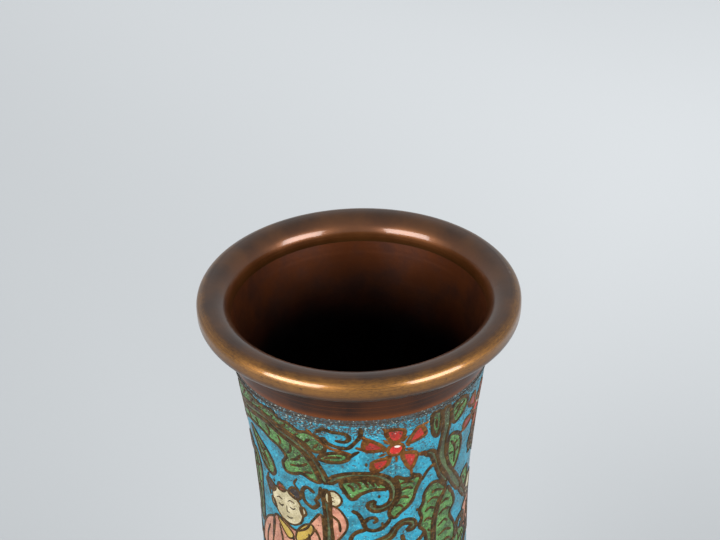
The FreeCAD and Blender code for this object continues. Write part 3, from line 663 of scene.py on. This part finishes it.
def head(pen):
    """A calm child's head of plain design, with two tufts of hair."""
    for side in (-1, 1):
        pen.outlined("black", [(side * 3.4, -6.8), (side * 6.2, -9.4), (side * 8.6, -8.2),
                               (side * 8.2, -5.2), (side * 5.8, -4.6)], FINE_WIRE)
        pen.outlined("cream", [(side * 6.6, -0.8), (side * 8.2, -1.2), (side * 8.4, 1.2),
                               (side * 6.6, 2.2)], FINE_WIRE)
    pen.outlined("cream", [(0, -7.6), (4.4, -6.6), (6.9, -3), (7, 1.2), (5, 5.2), (2, 7), (0, 7.3), (-2, 7),
                           (-5, 5.2), (-7, 1.2), (-6.9, -3), (-4.4, -6.6)], 0.8)
    pen.outlined("red", [(-2, -7.2), (0, -9.6), (2, -7.2), (0, -6.2)], FINE_WIRE)
    for side in (-1, 1):
        pen.wire([(side * 1.4, -2.4), (side * 2.9, -3.1), (side * 4.5, -2.4)], 0.42, metal="ink")
        pen.wire([(side * 1.6, -0.3), (side * 2.9, 0.4), (side * 4.2, -0.3)], 0.55, metal="ink")
    pen.wire([(0.1, -0.4), (-0.5, 2.0), (0.5, 2.3)], 0.36, metal="ink")
    pen.wire([(-1.5, 4.2), (0, 4.7), (1.5, 4.2)], 0.5, metal="ink")


def boy(pen):
    """A child in a pink robe with a yellow collar and sash."""
    pen.outlined("pink", [(-8, 9.5), (-3, 7.5), (3, 9), (8, 6), (11, 1), (14.5, -2.5), (14.8, 10),
                          (15, 24), (17, 40), (10, 46), (0, 44), (-9, 47), (-15, 40), (-11, 24)], 0.9)
    pen.outlined("pink", [(-8, 10), (-14, 14), (-19, 22), (-21, 31), (-16, 33), (-12, 26), (-9.5, 18)], 0.9)
    pen.outlined("cream", [(-21, 31), (-22.4, 35), (-19, 36.6), (-16.4, 34.6), (-16.4, 32)], 0.7)
    for fold in ([(-5, 11), (-4, 18), (-6, 27), (-4, 38)], [(2, 12), (2.4, 20), (4, 30), (3.4, 40)],
                 [(9, 8), (9.4, 16), (8.4, 24), (11, 36)], [(-12, 16), (-15, 22), (-16.5, 29)],
                 [(11, 4), (13, 8), (13.4, 13)], [(-9, 24), (-10, 32), (-12, 40)]):
        pen.wire(fold, FINE_WIRE)
    pen.outlined("yellow", [(-11, 25), (-3, 27), (5, 27), (15.5, 24.5), (16, 28), (5, 30.6), (-4, 30.6),
                            (-12, 28.6)], 0.8)
    pen.outlined("yellow", [(-5.4, 8), (0, 9.6), (2.2, 12.4), (-0.4, 14.4), (-3.4, 11.6)], 0.8)
    pen.outlined("yellow", [(4, 9), (7.6, 4.4), (10.6, 3.4), (10.8, 6.4), (7.4, 11.4), (3.4, 13.4)], 0.8)
    for side in (-1, 1):
        pen.outlined("black", [(side * 2.4, 45.4), (side * 10.8, 46), (side * 13.6, 50), (side * 8, 51.4),
                               (side * 2.6, 50)], 0.7)
    head(pen.at(0.2, 0, turn=-14))


def neck_front(pen):
    """One half of the neck: figure, flower and scrolling leaves on turquoise."""
    # the stems, from the left edge to the right
    pen.band([(-60, 15), (-52, 13), (-42.5, 9.5), (-33.5, 7.5), (-26, 10), (-20, 12.5), (-16.5, 16),
              (-14, 21), (-12, 27)], 2.1)
    pen.band([(-11, 26.5), (-8.5, 24), (-4, 22.2), (0.5, 22), (5, 23), (8.2, 26), (9.8, 30.5), (9.2, 35),
              (6.6, 37.3), (3.6, 37.4), (2.2, 35.6), (3.4, 34)], 2.0)
    pen.band([(1, 53.5), (5, 52.4), (8.8, 50.6), (10.6, 47.6), (13.4, 45.6), (16.4, 46.4), (17.2, 48.6),
              (15, 49.6)], 1.9)
    pen.band([(26.5, 0.8), (27.6, 9), (27, 17), (27.4, 23.5), (31, 31), (35.5, 38.5), (40, 45)],
             3.0, "stem")
    pen.band([(20.2, 17.6), (23, 19.2), (25, 24), (27.4, 30.6), (31, 36)], 1.8)
    pen.band([(-12.4, 30), (-12.2, 42), (-12.4, 58), (-13.4, 78), (-12.2, 98)], 2.2)
    pen.band([(25, 60), (23, 72), (16, 80), (6, 82), (-2, 88), (-6, 98), (-2, 106)], 2.0)
    pen.band([(16, 80), (24, 86), (34, 87), (42, 82), (48, 74), (56, 72)], 2.0)
    pen.band([(40, 45), (46, 52), (54, 55), (60, 52)], 2.0)
    pen.band([(-60, 72), (-52, 72), (-46, 80), (-46, 90), (-52, 98), (-60, 98)], 2.0)
    pen.band([(34, 87), (36, 96), (32, 104), (24, 106)], 1.8)

    flower(pen.at(10, 12))
    flower(pen.at(46, 14, turn=30, size=0.95))
    flower(pen.at(8, 68, turn=50, size=0.9))
    flower(pen.at(44, 98, turn=10, size=0.9))

    leaf(pen, [(-7.2, 25.8), (-4, 24.6), (0, 24.2), (4, 25.2), (7, 27.2), (7.4, 29), (3.2, 28.8),
               (-0.8, 30.4), (-3.8, 33), (-6, 29.4)], [[(-5, 26.4), (-3.6, 27.4), (-3.2, 29.2)],
                                                       [(-2.8, 25), (-1.4, 26), (-0.8, 28)],
                                                       [(-0.4, 24.6), (0.8, 25.6), (1.4, 27.6)],
                                                       [(1.8, 24.8), (2.8, 25.8), (3.4, 27.4)],
                                                       [(4, 25.6), (5, 27.4)]])
    leaf(pen, [(10.4, 24.4), (14, 26.4), (18.4, 26.6), (19, 29), (17.6, 32.4), (16.6, 36.4), (14.6, 39),
               (12, 41), (10.4, 42.6), (8.6, 41.4), (8.6, 38.8), (10.8, 35.6), (11.8, 32), (11.2, 28)],
               [[(11.8, 28), (14, 27.6), (16.4, 28.6)], [(12.2, 31), (14.4, 30.4), (16.4, 31.4)],
                [(11.6, 34.4), (13.4, 34), (15, 35.2)], [(10.4, 37.6), (12, 37.4), (13, 38.6)]])
    leaf(pen, [(23.2, 60), (21.8, 53.4), (19.6, 50), (20.4, 46.6), (19.4, 43), (20.8, 39.6), (21, 36),
               (23.4, 33), (26.4, 33.4), (28.6, 35.6), (30.6, 38.4), (27.6, 42.8), (25.6, 49),
               (25.2, 57), (26.4, 66)], [[(29, 38.6), (26, 37), (24, 37.4)],
                                         [(27.4, 41.2), (24.6, 39.8), (22.4, 40.8)],
                                         [(25.8, 45), (23.6, 43.6), (21.6, 44.6)],
                                         [(24.8, 49.4), (23, 48), (21.4, 48.8)],
                                         [(24.4, 54.6), (23.2, 53.2)]])
    leaf(pen, [(31.6, 39.4), (33.4, 41.6), (35.4, 45), (36.4, 49), (34.4, 51.4), (34.4, 54), (36.8, 58),
               (38.2, 62.6), (36.6, 66.6), (30, 68), (27.4, 64), (26.4, 57), (26.8, 49.6), (28.6, 43.4)],
               [[(29, 45), (31, 44.4), (33, 45.4)], [(28, 49.4), (31, 48.6), (34, 50)],
                [(27.8, 54.4), (31, 53.4), (33, 55)], [(28.2, 59), (32, 58.4), (35.4, 60.4)],
                [(29.4, 63.6), (33, 63), (35.4, 64.6)]])
    leaf(pen, [(29.6, 2), (34, 1.4), (37, 4.6), (35.4, 8.6), (31.6, 10.8), (29.4, 7)],
         [[(31, 8), (33, 5), (35, 4)], [(31, 4.6), (32.6, 3.4)]])
    leaf(pen, [(30, 15.6), (34, 17), (36.6, 21), (36.8, 26.8), (34.2, 32.4), (31, 28.6), (29.4, 22)],
         [[(31, 18.6), (33.4, 23), (34, 29.6)], [(32.4, 21.4), (34.6, 20.6)], [(33.6, 25), (35.6, 24.4)],
          [(32.6, 24.4), (30.8, 24)]])
    leaf(pen, [(40.6, 41), (44, 39), (47, 41.6), (46.6, 46), (43.6, 47.6)], [[(42.4, 42), (44.4, 44.6)]])
    leaf(pen, [(21.4, 1.2), (24.6, 1.6), (25, 7), (24.2, 12), (22, 9)], [[(23, 4), (23.4, 8)]])
    leaf(pen, [(-58, 11), (-56, 1.6), (-48, 0.8), (-40, 1.4), (-34, 2.4), (-28.4, 1.8), (-26.4, 3.8),
               (-22.4, 4.4), (-19.6, 6), (-16.4, 5.6), (-13, 6.8), (-11.2, 9.8), (-12, 12.6),
               (-15.4, 13.4), (-19, 10.2), (-25.4, 7.6), (-33.5, 5.6), (-42.5, 7.4), (-52, 11)],
               [[(-52, 9), (-49, 5), (-48.4, 2.6)], [(-46, 6.8), (-44, 4.6), (-42.6, 3)],
                [(-40, 5.6), (-38.4, 4), (-37.6, 3)], [(-35, 4.8), (-33.6, 3.8)],
                [(-29.6, 5.8), (-28.6, 4.2)], [(-25.4, 6.8), (-23.8, 5.4)], [(-21.2, 8.6), (-19.6, 7.4)],
                [(-17.8, 10.4), (-16, 8.4)], [(-15, 12), (-13.4, 9.8)]])
    leaf(pen, [(-13.6, 16.4), (-12.4, 14.4), (-8.6, 12.6), (-5.2, 12.8), (-4.4, 14.8), (-6.8, 16.6),
               (-11, 17)], [[(-12, 15.6), (-9, 14.6), (-6.4, 14.4)]])
    leaf(pen, [(-56, 16.6), (-50, 14.4), (-42.5, 11.4), (-33.5, 9.4), (-26.4, 11.6), (-20.8, 14),
               (-17.8, 17.2), (-15.6, 21.6), (-14, 27), (-17.2, 26.8), (-20.4, 25.4), (-23.6, 27),
               (-26.8, 27.2), (-27.6, 24), (-25.8, 20.4), (-28.4, 17.4), (-32, 16.4), (-35, 15),
               (-39.5, 15), (-46, 16.4), (-52, 20)], [[(-44, 12.6), (-42.6, 14.6)],
                                                      [(-38.6, 11.6), (-37.6, 13.6)],
                                                      [(-33, 10.6), (-31.8, 13), (-32.4, 15)],
                                                      [(-28, 12.4), (-27.2, 14.6), (-28, 16.2)],
                                                      [(-23.4, 14), (-23.4, 16.4), (-25, 18.6)],
                                                      [(-20, 17), (-21.4, 19.4), (-24, 21)],
                                                      [(-17.8, 20), (-20.4, 22), (-24.4, 23.4)],
                                                      [(-16.2, 23.6), (-18.6, 24.2), (-20, 25)]])
    leaf(pen, [(-44, 18.6), (-37.6, 21.6), (-33.8, 25.4), (-32.4, 30.6), (-34.8, 33.6), (-39, 31.6),
               (-41.4, 27)], [[(-41, 21.6), (-37.6, 26), (-35.6, 31)], [(-38.4, 25), (-36.4, 24)],
                              [(-39, 27), (-36.8, 29.4)]])
    leaf(pen, [(-45, 29), (-42.4, 36), (-44.2, 47), (-46.4, 61), (-50, 63), (-51, 50), (-49.6, 38)],
         [[(-45.6, 32), (-47, 44), (-48, 58)], [(-46.4, 38), (-44.4, 36.4)], [(-47, 46), (-45.2, 44.4)],
          [(-46.4, 39), (-48.6, 38)], [(-47.4, 50), (-49.4, 48.6)]])
    acanthus(pen.at(28, 78, turn=-28, size=0.9))
    acanthus(pen.at(4, 90, turn=20, size=0.95))
    acanthus(pen.at(-50, 100, turn=-10, size=0.9))
    acanthus(pen.at(50, 60, turn=60, size=0.8))
    acanthus(pen.at(52, 36, turn=-60, size=0.8))
    acanthus(pen.at(60, 24, turn=150, size=0.7))
    acanthus(pen.at(-2, 62, turn=96, size=0.55))

    pen.wire([(-16.6, 4), (-14.2, 6.6), (-10, 10.6), (-7, 11.4), (-3.4, 12.8)], 1.2, metal="gold")
    pen.wire([(-13.6, 4.6), (-11.4, 2.6), (-8.4, 3.4), (-5.2, 3.6), (-3.8, 5.4), (-5, 7.2), (-8, 7)], 1.4)
    pen.wire([(-11.8, 6), (-10.4, 8.4), (-7.4, 9.8), (-4.4, 10), (-2.6, 8), (-0.6, 4.6), (-0.4, 1)], 1.4)
    pen.wire([(-0.6, 4.6), (1.4, 6.6), (1.2, 8.6)], 1.3, metal="gold")
    pen.wire([(17.4, 16.8), (19.4, 17.2), (20.6, 17.8)], 2.0, metal="gold")
    pen.wire([(3.4, 21.4), (2.6, 19.6), (2.8, 18)], 1.6, metal="gold")
    pen.wire([(15.4, 24.6), (16.6, 25.6), (18.8, 26.4)], 1.6)
    pen.wire([(-4.6, 14.6), (-2.6, 12.6), (-1, 11.4)], 1.4)
    pen.wire([(-16.4, 32.6), (-19, 31), (-21, 33.6), (-20.4, 37.6), (-17.6, 39.6), (-15.4, 37.4),
              (-16.6, 35.4)], 1.6)
    pen.wire([(-14, 29), (-14.6, 33), (-16.4, 36)], 1.3)
    pen.wire([(24.6, 24), (21.6, 26), (19.6, 29.4)], 1.4)
    pen.wire([(-4, 38), (-2, 39.5), (-0.6, 42.5), (0.6, 46), (3, 47.2), (5.8, 46.4), (8, 44.2),
              (8.6, 42.4)], 1.6)
    pen.wire([(0, 43.6), (1.4, 41.6), (3.4, 41.4), (4.2, 42.8), (3, 43.8)], 1.4)
    pen.wire([(0.6, 46.6), (-2.4, 47.6), (-4.4, 50), (-5, 54), (-3.4, 58)], 1.6)
    pen.wire([(13, 51), (14, 54.6), (17.4, 56.6), (20.4, 55.2), (22, 52.6)], 1.6)
    pen.wire([(-37, 34.5), (-38.6, 39), (-37.6, 44.5)], 1)
    pen.wire([(-22.6, 28.8), (-24, 31.6), (-22.4, 34)], 1)
    for x, y, turn, size in ((14, 60, 40, 0.7), (-4, 72, 200, 0.8), (36, 72, 160, 0.7),
                             (-54, 84, 20, 0.7), (18, 92, 190, 0.75), (54, 90, 230, 0.75),
                             (50, 30, 200, 0.6), (-50, 26, 90, 0.6), (0, 98, 60, 0.6), (56, 8, 120, 0.7),
                             (40, 66, 300, 0.7)):
        curl(pen.at(x, y, turn), size)
    for x, y in ((1, 17.4), (-34, 36), (18.4, 42), (5, 32), (6, 44.4), (-4, 66), (30, 74), (48, 66)):
        pen.dot(x, y, 0.75)
    pen.outlined("cream", [(46, 50), (49, 46), (53, 47), (54, 52), (51, 56), (47, 55)], 1.0)
    pen.outlined("pink", [(44, 58), (49, 56), (55, 58), (57, 68), (50, 70), (45, 66)], 1.0)
    # hand, sleeves and figure
    pen.outlined("pink", [(-11.6, 37), (-8.4, 37.8), (-6, 42), (-5.8, 46), (-8, 50.4), (-10.6, 52.6),
                          (-11.4, 44)], 0.8)
    pen.wire([(-11, 41), (-8.6, 43.6), (-8.2, 48)], FINE_WIRE)
    pen.outlined("cream", [(-12.6, 31.6), (-9.6, 30), (-7.4, 32.4), (-7.4, 35), (-9.4, 36.8),
                           (-12.4, 35.4)], 0.75)
    pen.wire([(-11.4, 32.6), (-9.6, 33)], 0.5)
    pen.wire([(-11.4, 34.4), (-9.4, 34.8)], 0.5)
    boy(pen.at(-29, 44.5))


def body_panel(pen):
    """A lotus on a scrolling stem with leaves and a flower; it joins itself at its sides."""
    pen.band([(-44, 42), (-34, 28), (-20, 25), (-8, 33), (2, 46), (16, 52), (32, 49), (44, 42)])
    pen.band([(-20, 25), (-15, 15), (-20, 6), (-29, 6), (-31, 13), (-27, 16)], 2.4)
    pen.band([(16, 52), (21, 63), (15, 72), (5, 72), (2, 65), (7, 61)], 2.4)
    pen.band([(32, 49), (40, 58), (38, 68), (30, 71)], 2.4)
    pen.band([(-2, 40), (-14, 46), (-22, 56), (-34, 60), (-42, 70)], 2.4)
    lotus(pen.at(9, 30, size=0.95))
    flower(pen.at(-28, 46, turn=20, size=0.9))
    acanthus(pen.at(-11, 52, turn=46, size=0.75))
    acanthus(pen.at(30, 42, turn=-62, size=0.8))
    acanthus(pen.at(-39, 30, turn=-96, size=0.75))
    acanthus(pen.at(23, 66, turn=-8, size=0.6))
    acanthus(pen.at(-24, 62, turn=30, size=0.6))
    acanthus(pen.at(-4, 34, turn=-150, size=0.6))
    acanthus(pen.at(-36, 60, turn=-30, size=0.55))
    acanthus(pen.at(-18, 24, turn=-62, size=0.6))
    acanthus(pen.at(36, 58, turn=150, size=0.5))
    acanthus(pen.at(42, 42, turn=-104, size=0.6))
    for x, y, turn, size in ((-6, 12, 10, 0.8), (20, 6, 190, 0.7), (-36, 52, 190, 0.6), (24, 56, 60, 0.5),
                             (30, 22, 20, 0.8), (-40, 12, 80, 0.7), (-8, 68, 200, 0.7), (20, 18, -60, 0.5),
                             (-22, 74, 0, 0.7), (-6, 56, 120, 0.5)):
        curl(pen.at(x, y, turn), size)
    for x, y in ((-2, 20), (20, 18), (-12, 20), (36, 34), (-4, 60), (38, 40), (-38, 40), (30, 8)):
        pen.dot(x, y, 0.8)


def foot_panel(pen):
    """One twelfth of the foot: a small flower between two curls."""
    flower(pen.at(0, 9, size=0.62))
    curl(pen.at(8, 10, -10), 0.85)
    curl(pen.at(-8, 10, 10), -0.85)


NECK_RADIUS = 38.0          # radius at which the neck's flat drawing is taken
NECK_HALVES = 2
BODY_RADIUS = 84.0
FOOT_RADIUS = 50.0
PANELS = 6
ROWS = [(28.0, False), (104.0, True)]       # where each row of the body starts, and whether it is mirrored

neck = Zone("neck", Surface(outside_of_ring("neck_field_enamel")), 0.6)
for half in range(NECK_HALVES):
    neck_front(neck.pen(half * math.pi, 0.0, NECK_RADIUS))
make_zone(neck, "turquoise", "turquoise_enamel", "neck_field_enamel")

body = Zone("body", Surface(outside_of_hull(
    "shoulder_field_enamel", "collar_enamel", "collar_heart_enamel",
    "belly_field_enamel", "lappet_enamel", "lappet_heart_enamel")), 0.9)
for panel in range(PANELS):
    for start, mirror in ROWS:
        turn = (panel + 0.5 * mirror) * 2 * math.pi / PANELS
        body_panel(body.pen(turn, start, BODY_RADIUS).at(0, 0, mirror=mirror))
make_zone(body, "turquoise", "turquoise_enamel", "shoulder_field_enamel", "belly_field_enamel")

foot = Zone("foot", Surface(outside_of_ring("foot_field_enamel")), 0.8)
for panel in range(2 * PANELS):
    foot_panel(foot.pen(panel * math.pi / PANELS, 0.0, FOOT_RADIUS))
make_zone(foot, "turquoise", "turquoise_enamel", "foot_field_enamel")


# ---------------------------------------------------------------- floor, light and camera

def floor_with_painted_light():
    """Smooth pale paint, with painted light: a little lighter to the right and further back."""
    look = Look("floor", Specular_IOR_Level=0.2)
    grain = look.noise(3.0, 2.0)
    split = look.add("ShaderNodeSeparateXYZ", {0: look.place}).outputs
    # painted light: the floor's colour brightens towards +X and +Y
    painted_light_across = look.maths("ADD", split["Y"], look.maths("MULTIPLY", split["X"], 0.9))
    colour = look.mix(look.step(painted_light_across, 0.2, 1.15), tint(167, 170, 172), tint(192, 195, 197))
    return look.finish(colour, look.step(grain, 0.0, 1.0, 0.6, 0.8))


def floor():
    """A pale floor, far wider than the view."""
    mesh = bpy.data.meshes.new("floor")
    half = 40.0
    mesh.from_pydata([(-half, -half, 0), (half, -half, 0), (half, half, 0), (-half, half, 0)], [],
                     [(0, 1, 2, 3)])
    mesh.materials.append(floor_with_painted_light())
    plane = bpy.data.objects.new("floor", mesh)
    bpy.context.scene.collection.objects.link(plane)


def aim(thing, place, target):
    """Put a lamp or camera at a place, looking at a target."""
    thing.location = place
    thing.rotation_euler = (Vector(target) - Vector(place)).to_track_quat("-Z", "Y").to_euler()


def soft_box(name, place, target, width, height, power):
    """A large rectangular lamp."""
    lamp = bpy.data.lights.new(name, "AREA")
    lamp.shape = "RECTANGLE"
    lamp.size, lamp.size_y = width, height
    lamp.energy = power
    box = bpy.data.objects.new(name, lamp)
    bpy.context.scene.collection.objects.link(box)
    aim(box, place, target)


def camera(middle_height):
    """A 75 mm lens that looks down into the mouth, rolled very slightly."""
    looking = Vector((0, math.cos(LOOK_DOWN), -math.sin(LOOK_DOWN)))
    right, up = Vector((1, 0, 0)), Vector((0, math.sin(LOOK_DOWN), math.cos(LOOK_DOWN)))
    cos, sin = math.cos(ROLL), math.sin(ROLL)
    eye = bpy.data.cameras.new("camera")
    eye.sensor_width = 36.0
    eye.lens = 75.0
    eye.clip_start = 0.01
    made = bpy.data.objects.new("camera", eye)
    bpy.context.scene.collection.objects.link(made)
    turned = Matrix((cos * right - sin * up, sin * right + cos * up, -looking)).transposed()
    made.matrix_world = Matrix.Translation(EYE + Vector((0, 0, middle_height))) @ turned.to_4x4()
    bpy.context.scene.camera = made


LOOK_DOWN = math.radians(32.537)
ROLL = math.radians(1.387)
EYE = Vector((0.00058, -0.39895, 0.2641))      # from the middle of the lip
LIP_HALF = 3.4 * MM                             # top of the lip above its middle
SOFT_BOXES = {              # place from the middle of the lip, width, height and watts
    "left_box": ((-1.85, -1.93, 0.56), 1.9, 1.6, 160.0),
    "right_box": ((2.05, -1.80, 0.60), 1.8, 1.6, 142.0),
}
SKY = (0.85, 0.87, 0.89, 1.0)
SKY_STRENGTH = 0.87

lip_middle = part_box("lip_ring")[1][2] - LIP_HALF
floor()
camera(lip_middle)
bpy.context.scene.view_settings.view_transform = "Standard"
for name, (place, width, height, power) in SOFT_BOXES.items():
    x, y, z = place
    soft_box(name, (x, y, lip_middle + z), (0, 0, lip_middle), width, height, power)

world = bpy.data.worlds.new("studio")
bpy.context.scene.world = world
world.use_nodes = True
sky = world.node_tree.nodes["Background"]
sky.inputs["Color"].default_value = SKY
sky.inputs["Strength"].default_value = SKY_STRENGTH
